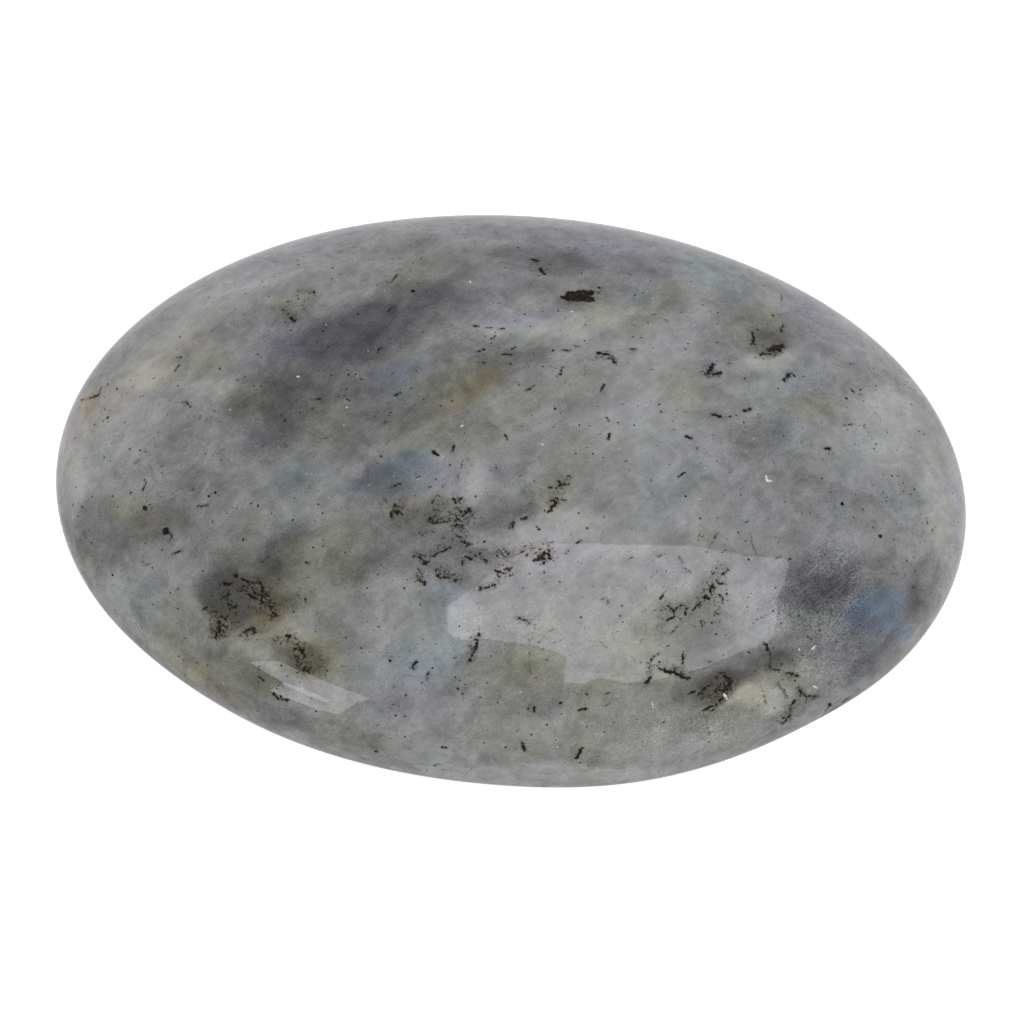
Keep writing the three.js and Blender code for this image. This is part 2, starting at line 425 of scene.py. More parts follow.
        (817, 551, 0.8), (829, 591, 1.0), (818, 613, 1.2), (816, 617, 1.0), (799, 624, 1.1),
        (781, 664, 1.2),
    ],
    "widthShare": 0.82,  # of the half widths, as ragged edges add to them
    "bends": [(0.9, 0.10), (0.3, 0.06)],  # wave length and shift of crooked strokes, mm
    "inkReach": 1.2,  # mm from a stroke out to which its distance is kept
    "thinReach": 0.6,  # mm, the same for dots, flecks and veins
    "refineReach": 1.0,  # mm, the same for the finer faces
    "seed": 41,
    "hiddenCount": 190,  # scattered over the sides the photograph doesn't show
    "hiddenFacing": -0.02,  # turned at least this far from the camera
    "hiddenRuns": [0, 0, 0.3, 0.6, 0.9],  # lengths in mm
    "hiddenHalves": (0.06, 0.19),  # half widths in mm
    "armHalves": (0.05, 0.14),  # of a bent second arm
    "armShare": 0.35,  # how many have one
}

# thin olive cracks: x, y, x, y, half width
thinVeins = [
    (541, 587, 545, 582, 0.5), (545, 582, 549, 577, 0.5), (549, 577, 556, 574, 0.5),
    (515, 617, 521, 616, 0.5), (521, 616, 525, 620, 0.7), (525, 620, 529, 624, 1.0),
    (518, 623, 524, 624, 0.5), (540, 610, 537, 622, 0.5), (537, 622, 533, 633, 0.6),
    (533, 633, 528, 645, 0.5), (534, 648, 540, 642, 0.4), (540, 642, 547, 632, 0.5),
    (547, 632, 555, 627, 0.5), (541, 651, 550, 645, 0.4), (550, 645, 562, 640, 0.5),
    (621, 617, 623, 609, 0.9), (622, 622, 620, 630, 0.4), (620, 630, 613, 634, 0.4),
    (613, 634, 614, 640, 0.5), (600, 642, 607, 648, 0.5), (640, 645, 646, 634, 0.7),
    (646, 634, 648, 626, 0.6), (644, 583, 647, 593, 0.6), (647, 593, 649, 598, 0.4),
    (651, 578, 657, 570, 0.4), (661, 554, 668, 553, 0.4), (667, 621, 662, 629, 1.0),
    (662, 629, 658, 640, 0.9), (683, 621, 691, 620, 0.5), (704, 557, 712, 543, 0.9),
    (712, 543, 719, 530, 0.8), (698, 541, 701, 529, 0.8), (749, 532, 752, 541, 0.9),
    (752, 541, 756, 555, 0.9), (716, 569, 719, 562, 0.7), (752, 622, 758, 619, 0.9),
    (756, 609, 759, 608, 0.7), (760, 682, 763, 692, 0.8), (763, 692, 766, 703, 0.7),
    (778, 682, 783, 690, 1.6), (783, 690, 787, 698, 1.6), (770, 653, 776, 664, 0.9),
    (722, 705, 733, 690, 0.6), (463, 461, 458, 480, 0.7), (645, 300, 662, 288, 0.5),
    (478, 600, 479, 634, 0.5), (288, 570, 296, 561, 1.0), (281, 577, 288, 570, 1.0),
    (248, 668, 249, 690, 0.7), (257, 676, 258, 698, 0.5), (437, 496, 445, 484, 0.5),
    (529, 652, 530, 674, 0.8), (863, 425, 869, 432, 0.4), (869, 432, 875, 443, 0.4),
    (590, 606, 588, 616, 0.4), (630, 655, 640, 668, 0.4), (600, 560, 606, 549, 0.3),
    (575, 606, 582, 596, 0.3),
]

# pale flecks, in the same way
paleFlecks = [
    (766, 476, 768, 481, 1.1), (768, 481, 773, 480, 1.0), (653, 702, 653, 706, 0.8),
    (462, 426, 467, 424, 0.7), (295, 375, 299, 376, 0.3), (572, 311, 572, 312, 0.4),
    (347, 407, 349, 407, 0.4), (811, 685, 818, 689, 0.4), (467, 283, 472, 282, 0.5),
    (724, 695, 727, 698, 1.0), (724, 372, 726, 372, 0.6), (520, 440, 521, 440, 0.5),
    (542, 444, 543, 445, 0.5), (574, 449, 574, 451, 0.7), (701, 498, 702, 500, 0.7),
    (799, 649, 799, 650, 0.5), (299, 624, 299, 625, 0.5), (811, 650, 815, 647, 0.4),
]


def castMarks(rows):
    marks = []
    for x0, y0, x1, y1, half in rows:
        half *= darkMarks["widthShare"] * pixelSize
        marks.append((onStone(x0, y0)[0], onStone(x1, y1)[0], half))
    return marks


noise.seed_set(darkMarks["seed"])  # noise vectors start from the clock otherwise


# points shifted by smooth noise, so that straight strokes come out crooked and clouds get torn edges
def shifted(points, waves):
    spread = points / millimetre
    shift = np.zeros_like(spread)
    for length, amount in waves:
        shift += amount * np.array([noise.noise_vector(Vector(p / length)) for p in spread])
    return (spread + shift) * millimetre


# the same kinds of marks on the sides that the photograph doesn't show
def hiddenMarks():
    draw = random.Random(darkMarks["seed"])
    marks = []
    while len(marks) < darkMarks["hiddenCount"]:
        i = draw.randrange(len(plainPoints))
        if Vector(plainNormals[i]).dot(towardCamera) > darkMarks["hiddenFacing"]:
            continue
        start = Vector(plainPoints[i])
        aim = Vector((draw.gauss(0, 1), draw.gauss(0, 1), draw.gauss(0, 0.4))).normalized()
        run = draw.choice(darkMarks["hiddenRuns"]) * millimetre
        end = plainSurface.find_nearest(start + aim * run)[0]
        marks.append((start, end, draw.uniform(*darkMarks["hiddenHalves"]) * millimetre))
        if draw.random() < darkMarks["armShare"]:
            aim = (aim + Vector((draw.gauss(0, 1), draw.gauss(0, 1), 0))).normalized()
            tip = plainSurface.find_nearest(end + aim * run)[0]
            marks.append((end, tip, draw.uniform(*darkMarks["armHalves"]) * millimetre))
    return marks


# millimetres from the nearest mark's edge, less than 0 inside it
def markGap(points, marks, far):
    points = shifted(points, darkMarks["bends"])
    tree = kdtree.KDTree(len(points))
    for i, point in enumerate(points):
        tree.insert(point, i)
    tree.balance()
    gap = np.full(len(points), far)
    for start, end, half in marks:
        reach = (end - start).length / 2 + half + far * millimetre
        near = [i for place, i, away in tree.find_range((start + end) / 2, reach)]
        if not near:
            continue
        axis = np.array(end - start)
        offset = points[near] - np.array(start)
        along = np.clip(offset @ axis / max(axis @ axis, 1e-12), 0, 1)
        away = np.linalg.norm(offset - along[:, None] * axis, axis=1)
        gap[near] = np.minimum(gap[near], (away - half) / millimetre)
    return gap


dotMarks = castMarks([(x, y, x, y, half) for x, y, half in darkMarks["dots"]])
inkMarks = castMarks(darkMarks["strokes"]) + hiddenMarks()
fleckMarks = castMarks(paleFlecks)
veinMarks = castMarks(thinVeins)
darkCount = len(inkMarks) + len(dotMarks)
print("marks placed:", darkCount, "dark,", len(veinMarks), "olive,", len(fleckMarks), "pale")


# finer faces where the marks are, so that their edges are held by the surface
def refine(ball):
    marks = inkMarks + dotMarks + fleckMarks + veinMarks
    for margin in stoneForm["markMargins"]:
        gap = markGap(stoneSurface(unitPoints(ball)), marks, darkMarks["refineReach"])
        ball.verts.index_update()
        near = [e for e in ball.edges if min(gap[e.verts[0].index], gap[e.verts[1].index]) < margin]
        bmesh.ops.subdivide_edges(ball, edges=near, cuts=1, use_grid_fill=True)
        wide = [face for face in ball.faces if len(face.verts) > 3]
        bmesh.ops.triangulate(ball, faces=wide)


refine(ball)
stoneFaces = faceCorners(ball)
stonePoints = stoneSurface(unitPoints(ball))
stoneNormals = pointNormals(stonePoints, stoneFaces)
inkGap = markGap(stonePoints, inkMarks, darkMarks["inkReach"])
dotGap = markGap(stonePoints, dotMarks, darkMarks["thinReach"])
fleckGap = markGap(stonePoints, fleckMarks, darkMarks["thinReach"])
veinGap = markGap(stonePoints, veinMarks, darkMarks["thinReach"])
print("stone refined to", len(stoneFaces), "faces")


# stone: clouds and tints, read off the photograph in its pixels
# x, y, half length, half width, turn in degrees from right towards up, strength
# the blue flash among these is painted sheen; a few rows along the rim are painted shade and painted
# highlight
stoneClouds = {
    # below 0 darker, above 0 paler; a few rows along the rim are painted shade and painted highlight, as
    # marked
    "shade": [
        # darker, far side
        (402, 298, 44, 20, 20, -0.45), (445, 308, 36, 18, 25, -0.5), (437, 275, 45, 28, 25, -0.45),
        (478, 300, 25, 14, 30, -0.3), (400, 246, 44, 12, 15, -0.45), (545, 258, 46, 16, -5, -0.65),
        (500, 262, 40, 20, 0, -0.3), (610, 262, 56, 16, -8, -0.45), (655, 262, 38, 14, -12, -0.35),
        (560, 236, 90, 10, -5, -0.3), (584, 298, 28, 12, 0, -0.5), (720, 262, 50, 10, -25, -0.2),
        (640, 288, 64, 20, -5, -0.25), (520, 285, 44, 14, 0, -0.3), (430, 250, 50, 14, 10, -0.25),
        (285, 312, 26, 12, 20, -0.45), (742, 300, 30, 24, 30, -0.35), (729, 310, 22, 18, 0, -0.2),
        (560, 270, 40, 16, 0, -0.25), (360, 303, 20, 10, 20, -0.3), (462, 285, 30, 18, 20, -0.25),
        (420, 243, 30, 10, 5, -0.2),
        # darker, left
        (364, 336, 56, 28, 30, -0.9), (298, 360, 42, 30, 35, -0.5), (260, 400, 38, 32, 25, -0.42),
        (238, 404, 15, 24, 0, -0.4), (322, 400, 84, 36, 25, -0.45), (290, 335, 50, 26, 20, -0.35),
        (262, 440, 34, 24, 20, -0.5), (370, 430, 62, 20, 20, -0.4), (430, 372, 70, 26, 22, -0.3),
        (446, 408, 50, 16, 28, -0.3), (236, 322, 34, 12, 20, -0.4), (120, 350, 50, 14, 42, -0.15),
        (460, 432, 34, 14, 30, -0.25), (172, 438, 20, 14, 10, -0.25), (300, 408, 34, 22, 25, -0.35),
        (330, 332, 40, 20, 25, -0.3), (350, 330, 44, 24, 25, -0.3), (420, 328, 30, 10, 20, -0.3),
        (397, 470, 24, 12, 20, -0.12),
        # darker, lower left
        # rows at (150, 657), (185, 688), (185, 695), (192, 692), (195, 660), (270, 714): painted shade,
        # lower rim darkened
        (85, 515, 40, 14, 10, -0.3), (243, 577, 44, 32, 50, -0.8), (238, 668, 40, 14, -20, -0.25),
        (285, 548, 30, 20, 45, -0.6), (292, 583, 26, 26, 40, -0.25), (112, 552, 36, 20, -20, -0.3),
        (225, 622, 18, 14, 20, -0.2), (308, 658, 24, 14, -25, -0.75), (335, 640, 30, 18, 0, -0.25),
        (262, 684, 30, 14, -22, -0.48), (195, 660, 46, 12, -38, -0.15), (340, 738, 80, 12, -22, -0.35),
        (270, 714, 44, 14, -25, -0.45), (155, 522, 28, 17, 10, -0.6), (100, 535, 40, 34, -20, -0.55),
        (75, 560, 12, 50, 18, -0.3), (222, 592, 26, 24, 30, -0.45), (275, 605, 20, 16, 0, -0.35),
        (205, 505, 50, 44, 10, -0.25), (300, 530, 20, 14, 20, -0.3), (185, 688, 30, 8, -35, -0.3),
        (290, 600, 20, 18, 0, -0.25), (150, 545, 26, 16, 0, -0.3), (210, 555, 20, 12, 0, -0.3),
        (250, 618, 24, 14, 0, -0.5), (185, 695, 36, 16, -35, -0.35), (155, 615, 34, 22, -30, -0.3),
        (192, 692, 46, 11, -35, -0.5), (290, 490, 20, 12, 0, -0.25), (209, 592, 12, 20, 0, -0.3),
        (290, 683, 16, 8, -20, -0.35), (150, 657, 44, 9, -38, -0.4), (290, 602, 16, 12, 0, -0.25),
        (283, 662, 10, 20, 30, -0.35), (215, 690, 22, 10, -35, -0.4), (300, 482, 26, 14, 15, -0.2),
        (270, 646, 16, 10, 0, -0.25), (236, 662, 26, 12, -25, -0.25), (272, 492, 24, 14, 0, -0.15),
        (220, 680, 14, 10, -35, -0.25),
        # darker, middle
        (500, 366, 64, 16, 22, -0.52), (364, 550, 40, 28, 40, -0.4), (415, 530, 24, 16, 0, -0.3),
        (442, 516, 40, 16, 10, -0.25), (400, 516, 22, 12, 30, -0.2), (450, 558, 46, 18, 15, -0.4),
        (378, 490, 30, 20, 15, -0.4), (545, 492, 40, 14, 30, -0.15), (510, 510, 26, 15, 20, -0.3),
        (555, 700, 46, 16, 10, -0.3), (505, 672, 40, 18, 0, -0.25), (590, 455, 50, 20, 20, -0.25),
        (375, 480, 20, 16, 0, -0.3), (440, 545, 26, 18, 0, -0.3), (490, 525, 18, 10, 0, -0.3),
        (430, 490, 30, 16, 0, -0.25), (512, 518, 30, 10, 10, -0.35), (535, 345, 30, 10, 20, -0.2),
        (384, 562, 26, 18, 30, -0.3),
        # darker, right
        # rows at (845, 702) and (880, 655): painted shade, lower-right rim darkened
        (800, 335, 36, 20, -20, -0.3), (860, 365, 24, 14, -30, -0.3), (819, 582, 46, 30, 26, -0.94),
        (885, 602, 46, 34, 30, -0.6), (850, 652, 40, 26, 40, -0.46), (925, 585, 20, 34, -20, -0.6),
        (880, 655, 40, 16, 35, -0.4), (802, 700, 24, 12, 28, -0.4), (712, 685, 44, 13, 20, -0.85),
        (765, 664, 26, 9, 15, -0.55), (700, 655, 34, 12, 15, -0.1), (700, 598, 30, 16, 45, -0.35),
        (768, 342, 22, 16, 10, -0.6), (756, 440, 36, 22, 15, -0.35), (862, 496, 46, 16, 5, -0.3),
        (722, 412, 22, 10, 5, -0.3), (680, 622, 40, 22, 20, -0.35), (692, 642, 40, 16, 20, -0.4),
        (800, 640, 32, 22, 30, -0.4), (718, 340, 24, 28, 0, -0.25), (700, 485, 18, 30, 15, -0.2),
        (700, 625, 36, 26, 0, -0.25), (780, 450, 22, 14, 0, -0.3), (750, 345, 34, 22, 0, -0.2),
        (822, 592, 30, 20, 20, -0.25), (845, 702, 30, 9, 35, -0.35), (660, 612, 50, 40, 0, -0.12),
        (705, 670, 30, 12, 15, -0.25), (790, 662, 20, 10, 25, -0.3), (748, 680, 14, 8, 0, -0.25),
        (770, 325, 34, 18, 0, -0.2), (800, 346, 20, 14, 0, -0.2), (928, 575, 12, 26, -20, -0.25),
        (738, 660, 24, 10, 10, -0.25),
        # paler, left
        # rows at (75, 455), (75, 560), (70, 522): painted highlight along the left end's rim
        (146, 375, 26, 19, 20, 0.95), (128, 430, 36, 36, 0, 0.5), (208, 388, 23, 10, 10, 0.6),
        (232, 290, 46, 16, 25, 0.5), (185, 325, 40, 16, 35, 0.4), (140, 605, 34, 26, 0, 0.2),
        (320, 480, 60, 20, 20, 0.15), (75, 455, 20, 60, 0, 0.55), (248, 432, 24, 12, 20, 0.3),
        (298, 632, 20, 14, 0, 0.4), (250, 642, 24, 10, 0, 0.3), (304, 640, 13, 10, 0, 0.6),
        (320, 722, 30, 14, -20, 0.2), (268, 424, 20, 12, 0, 0.3), (320, 737, 30, 10, -20, 0.2),
        (75, 560, 16, 40, -60, 0.35), (260, 545, 16, 10, -30, 0.3), (170, 414, 24, 16, 0, 0.15),
        (70, 522, 10, 26, 0, 0.3), (250, 678, 12, 10, 0, 0.2), (108, 592, 20, 16, 0, 0.25),
        # paler, middle
        (570, 322, 54, 13, 8, 0.8), (550, 338, 44, 9, 10, 0.35), (505, 328, 30, 10, 8, 0.5),
        (476, 482, 10, 26, -15, 0.6), (548, 532, 50, 18, 8, 0.9), (480, 540, 16, 12, 0, 0.4),
        (452, 492, 24, 10, 15, 0.35), (530, 428, 30, 24, 0, 0.25), (405, 595, 40, 24, 20, 0.2),
        (420, 650, 60, 34, 20, 0.3), (440, 465, 20, 14, 0, 0.25), (466, 614, 18, 24, 20, 0.5),
        (570, 350, 24, 10, 10, 0.25), (545, 560, 18, 12, 0, 0.3), (520, 300, 30, 10, 0, 0.35),
        (435, 715, 24, 18, 0, 0.25), (460, 370, 24, 14, 20, 0.2), (469, 476, 8, 24, -8, 0.35),
        # row at (560, 773): painted highlight along the near rim
        (456, 500, 14, 6, 0, 0.3), (560, 773, 130, 9, 0, 0.4), (590, 562, 24, 12, 0, 0.2),
        (495, 682, 24, 10, 0, 0.25), (430, 722, 24, 14, 0, 0.15), (535, 546, 34, 9, 10, 0.3),
        (520, 730, 44, 30, 0, 0.12), (522, 264, 14, 12, 0, 0.2), (455, 388, 36, 9, 22, 0.15),
        (560, 500, 24, 12, 0, 0.2),
        # paler, right
        # rows at (945, 500) and (936, 600): painted highlight along the right end's rim
        (625, 488, 20, 16, 0, 0.2), (888, 420, 44, 36, 30, 0.7), (655, 345, 60, 26, 15, 0.45),
        (640, 425, 60, 40, 30, 0.5), (765, 364, 26, 11, 5, 0.95), (764, 694, 32, 11, -5, 1.0),
        (815, 670, 26, 9, 30, 0.12), (700, 512, 30, 22, 20, 0.5), (690, 470, 46, 20, 30, 0.25),
        (880, 465, 40, 20, 20, 0.35), (670, 742, 60, 16, 10, 0.25), (820, 462, 30, 20, 0, 0.2),
        (860, 540, 40, 14, 10, 0.3), (620, 600, 90, 40, 0, 0.2), (760, 400, 40, 24, 20, 0.2),
        (620, 722, 90, 30, 0, 0.18), (620, 430, 40, 60, 0, 0.2), (630, 525, 60, 18, 0, 0.35),
        (945, 500, 24, 70, 0, 0.6), (690, 750, 60, 14, 12, 0.2), (735, 690, 20, 12, 0, 0.4),
        (822, 677, 26, 9, 25, 0.25), (650, 390, 44, 44, 0, 0.22), (936, 600, 13, 40, 22, 0.35),
        (835, 560, 24, 9, 10, 0.25), (605, 300, 24, 10, 0, 0.25), (640, 645, 24, 14, 0, 0.15),
        (912, 628, 18, 16, 0, 0.4), (640, 484, 26, 14, 20, 0.2), (725, 540, 30, 12, 0, 0.2),
        (792, 606, 16, 12, 0, 0.25), (670, 645, 24, 14, 0, 0.15), (782, 632, 18, 14, 0, 0.15),
        (670, 552, 44, 10, 0, 0.2),
    ],
    "olive": [
        (430, 260, 34, 16, 20, 0.3), (290, 300, 30, 12, 20, 0.3), (160, 350, 50, 40, 30, 0.15),
        (275, 392, 40, 36, 40, 0.3), (440, 400, 70, 22, 28, 0.45), (330, 420, 60, 24, 25, 0.3),
        (768, 326, 26, 24, 0, 0.6), (817, 406, 22, 16, 10, 0.4), (676, 416, 14, 12, 0, 0.25),
        (330, 560, 46, 40, 40, 0.5), (160, 516, 40, 20, 10, 0.4), (180, 652, 44, 16, -38, 0.45),
        (600, 735, 80, 26, 5, 0.35), (515, 668, 40, 26, 0, 0.35), (555, 490, 24, 16, 30, 0.4),
        (700, 606, 40, 24, 35, 0.5), (740, 690, 50, 16, 5, 0.2), (250, 605, 46, 34, 30, 0.35),
        (305, 655, 34, 22, -20, 0.5), (430, 515, 44, 18, 10, 0.35), (650, 640, 60, 34, 20, 0.4),
        (600, 310, 50, 16, 10, 0.3), (620, 640, 120, 50, 0, 0.2), (240, 650, 90, 44, -25, 0.15),
        (400, 290, 40, 20, 25, 0.35), (290, 440, 50, 20, 20, 0.3), (790, 685, 60, 26, 25, 0.3),
        (530, 730, 60, 30, 0, 0.25), (330, 720, 60, 20, -20, 0.25), (760, 330, 50, 30, 20, 0.2),
        (213, 362, 23, 20, 20, 0.25), (252, 399, 36, 26, 20, 0.2), (665, 296, 30, 14, 30, 0.5),
        (645, 325, 24, 12, 20, 0.35), (682, 388, 26, 22, 20, 0.4), (586, 386, 22, 24, 0, 0.3),
        (802, 409, 20, 16, 0, 0.5), (252, 534, 12, 30, 0, 0.4), (289, 552, 16, 14, 0, 0.5),
        (120, 508, 30, 16, 0, 0.5), (146, 375, 40, 30, 20, 0.1), (100, 560, 40, 40, 0, 0.2),
        (200, 320, 60, 20, 30, 0.2), (480, 420, 80, 25, 25, 0.3), (670, 380, 60, 30, 10, 0.3),
        (290, 600, 30, 40, 20, 0.4), (272, 592, 16, 26, 0, 0.4), (640, 690, 60, 20, 0, 0.35),
        (940, 440, 16, 40, 10, 0.3), (265, 620, 24, 17, 0, 0.8), (320, 662, 26, 18, 0, 1.3),
        (260, 682, 22, 12, -30, 0.8), (200, 368, 44, 14, 25, 0.3), (185, 612, 26, 20, 0, 0.5),
        (210, 655, 44, 26, -20, 0.2), (300, 635, 50, 36, 0, 0.2), (725, 702, 40, 14, 0, 0.3),
        (725, 732, 40, 16, -15, 0.25), (340, 446, 30, 12, 20, 0.3), (565, 692, 36, 14, 0, 0.25),
        (698, 330, 26, 18, 0, 0.3), (750, 676, 30, 12, 0, 0.2), (450, 378, 50, 14, 28, 0.35),
        (478, 386, 34, 10, 38, 0.5), (520, 665, 40, 20, 0, 0.2), (560, 330, 60, 16, 8, 0.25),
    ],
    "rust": [
        (92, 402, 14, 8, 15, 0.7), (300, 287, 9, 6, 0, 0.35), (468, 391, 34, 8, 38, 0.42),
        (264, 610, 20, 16, -20, 0.6), (271, 598, 12, 22, 0, 0.4), (220, 622, 15, 13, 20, 0.6),
        (185, 352, 36, 14, 25, 0.2), (310, 660, 26, 16, -15, 0.45), (252, 614, 22, 12, 10, 0.3),
        (525, 558, 12, 10, 0, 0.3), (544, 556, 9, 6, 20, 0.7), (552, 507, 6, 8, 0, 0.6),
        (396, 511, 8, 9, 0, 0.6), (579, 296, 16, 6, 0, 0.9), (829, 708, 7, 6, 30, 0.2),
        (750, 692, 30, 10, 0, 0.12), (668, 615, 6, 5, 0, 0.5), (215, 688, 40, 14, -30, 0.35),
        (282, 600, 14, 14, 0, 0.25), (120, 412, 20, 14, 0, 0.2), (768, 650, 6, 8, 0, 0.15),
        (505, 570, 12, 8, 0, 0.35), (720, 680, 20, 12, 0, 0.3), (430, 412, 30, 8, 35, 0.2),
        (146, 375, 30, 20, 25, 0.18), (85, 415, 34, 26, 60, 0.4), (490, 380, 22, 8, 38, 0.3),
        (840, 500, 30, 20, 0, 0.1), (150, 520, 16, 10, 0, 0.2),
    ],
    "teal": [
        (720, 275, 44, 18, -15, 0.6), (645, 296, 26, 14, 0, 0.2), (812, 376, 28, 20, 0, 0.25),
        (795, 440, 26, 22, 0, 0.3), (668, 500, 40, 22, 30, 0.3), (840, 475, 50, 40, 0, 0.15),
        (640, 436, 26, 16, 0, 0.15), (340, 484, 22, 12, 15, 0.2), (352, 672, 30, 18, 0, 0.4),
        (292, 482, 30, 14, 15, 0.5), (430, 610, 30, 24, 0, 0.25), (135, 600, 34, 30, 0, 0.25),
        (455, 440, 30, 10, 20, 0.3), (780, 400, 30, 30, 0, 0.25), (430, 650, 40, 20, 0, 0.25),
        (810, 625, 24, 18, 0, 0.15),
    ],
    "violet": [
        (560, 240, 130, 20, -6, 0.6), (370, 325, 64, 30, 28, 0.55), (300, 250, 70, 16, 22, 0.5),
        (515, 318, 40, 12, 8, 0.6), (815, 312, 34, 20, -30, 0.6), (850, 652, 46, 30, 35, 0.5),
        (225, 345, 20, 40, 0, 0.25), (770, 595, 22, 36, 0, 0.4), (640, 395, 60, 30, 20, 0.32),
        (400, 700, 50, 20, -10, 0.3), (640, 262, 60, 16, -10, 0.5), (825, 580, 44, 28, 30, 0.45),
        (820, 335, 44, 30, -30, 0.5), (290, 340, 60, 24, 20, 0.4), (700, 350, 50, 30, 20, 0.4),
        (690, 440, 50, 40, 20, 0.2), (230, 610, 30, 30, 0, 0.3), (560, 560, 60, 24, 0, 0.3),
        (460, 480, 50, 24, 20, 0.3), (550, 720, 60, 20, 0, 0.2), (390, 374, 36, 16, 25, 0.6),
        (355, 700, 20, 16, 0, 0.25), (222, 300, 30, 16, 30, 0.4), (150, 365, 16, 12, 0, 0.4),
        (655, 735, 20, 16, 0, 0.4), (800, 385, 22, 30, 0, 0.35), (690, 382, 20, 24, 0, 0.35),
        (286, 349, 34, 16, 20, 0.5), (172, 438, 24, 18, 10, 0.2), (635, 396, 34, 28, 0, 0.35),
        (640, 292, 30, 14, 0, 0.25), (273, 437, 30, 18, 10, 0.5), (210, 500, 40, 30, 0, 0.15),
        # strips at (60, 480), (72, 432), (955, 500): painted lavender of the reflection along both ends'
        # rims
        (60, 480, 10, 80, 0, 0.3), (72, 432, 16, 30, 0, 0.3), (955, 500, 10, 70, 0, 0.4),
        (760, 500, 110, 50, 0, 0.25), (480, 290, 70, 25, 10, 0.3),
    ],
    # the blue flash of labradorescence, a sheen seen only from some angles, painted into the colour as a
    # blue tint
    "flash": [
        (878, 608, 37, 20, 18, 0.49), (905, 629, 14, 12, 0, 0.28), (410, 668, 34, 22, 0, 0.12),
        (397, 471, 30, 14, 20, 0.28), (448, 598, 22, 20, 0, 0.13), (395, 370, 30, 12, 25, 0.1),
        (432, 480, 24, 12, 15, 0.1), (360, 490, 14, 10, 0, 0.15),
    ],
    # dark mineral broken into crumbs
    "crumbs": [
        (254, 592, 18, 10, -38, 1.0), (262, 584, 9, 8, 0, 0.95), (226, 586, 10, 6, 30, 0.6),
        (229, 596, 6, 4, 30, 0.7), (236, 574, 6, 4, -30, 0.7), (220, 621, 12, 11, 30, 0.8),
        (216, 632, 7, 5, 30, 0.9), (247, 632, 13, 4, 25, 0.9), (272, 607, 5, 11, 20, 0.5),
        (275, 643, 9, 7, 0, 0.5), (288, 636, 6, 6, 0, 0.7), (298, 650, 9, 6, -30, 0.9),
        (301, 657, 6, 6, 0, 0.6), (234, 604, 15, 8, 0, 0.4), (226, 590, 18, 10, 30, 0.4),
        (263, 610, 18, 13, 0, 0.4), (213, 608, 9, 5, 30, 0.5), (314, 661, 16, 13, 0, 0.55),
        (304, 668, 14, 5, -20, 0.6), (262, 679, 8, 7, 0, 0.35), (282, 699, 14, 5, -20, 0.5),
        (396, 511, 6, 8, 0, 0.8), (434, 512, 9, 11, 0, 0.45), (437, 522, 6, 4, 0, 0.9),
        (455, 523, 10, 5, 0, 0.85), (464, 513, 8, 6, 30, 0.9), (457, 500, 7, 4, 0, 0.5),
        (462, 538, 7, 7, 0, 0.6), (466, 546, 7, 5, 0, 0.5), (420, 560, 9, 4, -35, 0.85),
        (441, 551, 10, 4, 30, 0.6), (468, 557, 6, 5, 0, 0.7), (460, 561, 6, 4, 0, 0.5),
        (482, 557, 6, 7, 20, 0.8), (504, 553, 9, 5, 15, 0.6), (421, 580, 4, 8, 30, 0.8),
        (449, 577, 13, 4, -15, 0.9), (504, 571, 10, 6, 20, 0.75), (487, 587, 9, 4, 25, 0.9),
        (526, 551, 8, 7, 30, 0.3), (544, 556, 10, 7, 30, 1.0), (553, 501, 7, 6, 45, 0.9),
        (562, 485, 8, 6, 30, 0.85), (476, 640, 6, 9, -15, 0.8), (472, 656, 4, 8, -25, 0.7),
        (524, 620, 9, 4, -20, 0.55), (390, 660, 4, 4, 0, 0.6), (414, 664, 4, 5, -30, 0.7),
        (450, 540, 60, 42, 10, 0.15), (722, 577, 9, 4, 40, 0.7), (711, 590, 9, 7, 45, 0.85),
        (704, 599, 6, 5, 0, 0.8), (692, 608, 12, 5, 15, 0.6), (722, 600, 4, 7, 0, 0.6),
        (667, 612, 6, 9, 25, 0.7), (661, 630, 4, 11, -20, 0.5), (686, 615, 5, 5, 0, 0.5),
        (716, 617, 6, 7, 0, 0.45), (702, 624, 7, 5, 0, 0.35), (666, 671, 12, 4, -12, 0.8),
        (680, 676, 8, 4, 0, 0.85), (683, 662, 3, 7, -15, 0.6), (651, 666, 3, 11, 0, 0.5),
        (647, 679, 6, 4, 30, 0.8), (720, 676, 13, 7, -20, 0.35), (726, 683, 7, 9, -20, 0.7),
        (716, 691, 9, 5, 20, 0.6), (704, 689, 7, 4, 40, 0.85), (709, 708, 8, 4, 30, 0.7),
        (768, 648, 6, 7, 0, 0.8), (770, 660, 4, 8, 0, 0.6), (773, 669, 6, 3, 0, 0.6),
        (793, 675, 8, 4, 0, 0.8), (803, 692, 5, 7, 30, 0.6), (813, 697, 6, 3, 0, 0.9),
        (792, 705, 4, 8, -20, 0.7), (786, 718, 6, 6, 40, 0.9), (829, 708, 5, 6, -20, 0.9),
        (845, 700, 5, 4, 30, 0.8), (749, 653, 7, 5, 0, 0.4), (700, 600, 50, 40, 40, 0.2),
        (715, 685, 40, 18, 10, 0.12), (580, 296, 18, 6, 0, 0.7), (598, 290, 5, 4, 30, 0.6),
        (604, 354, 8, 4, 0, 0.8), (612, 360, 4, 4, 0, 0.8), (629, 350, 6, 3, 0, 0.6),
        (712, 369, 5, 7, -30, 0.9), (718, 373, 6, 4, 0, 0.7), (751, 338, 4, 8, 0, 0.7),
        (774, 349, 12, 6, 20, 0.9), (762, 354, 6, 4, 30, 0.8), (781, 326, 3, 8, 0, 0.5),
        (768, 338, 22, 16, 20, 0.12), (787, 377, 7, 4, 30, 0.7), (550, 351, 40, 6, 12, 0.35),
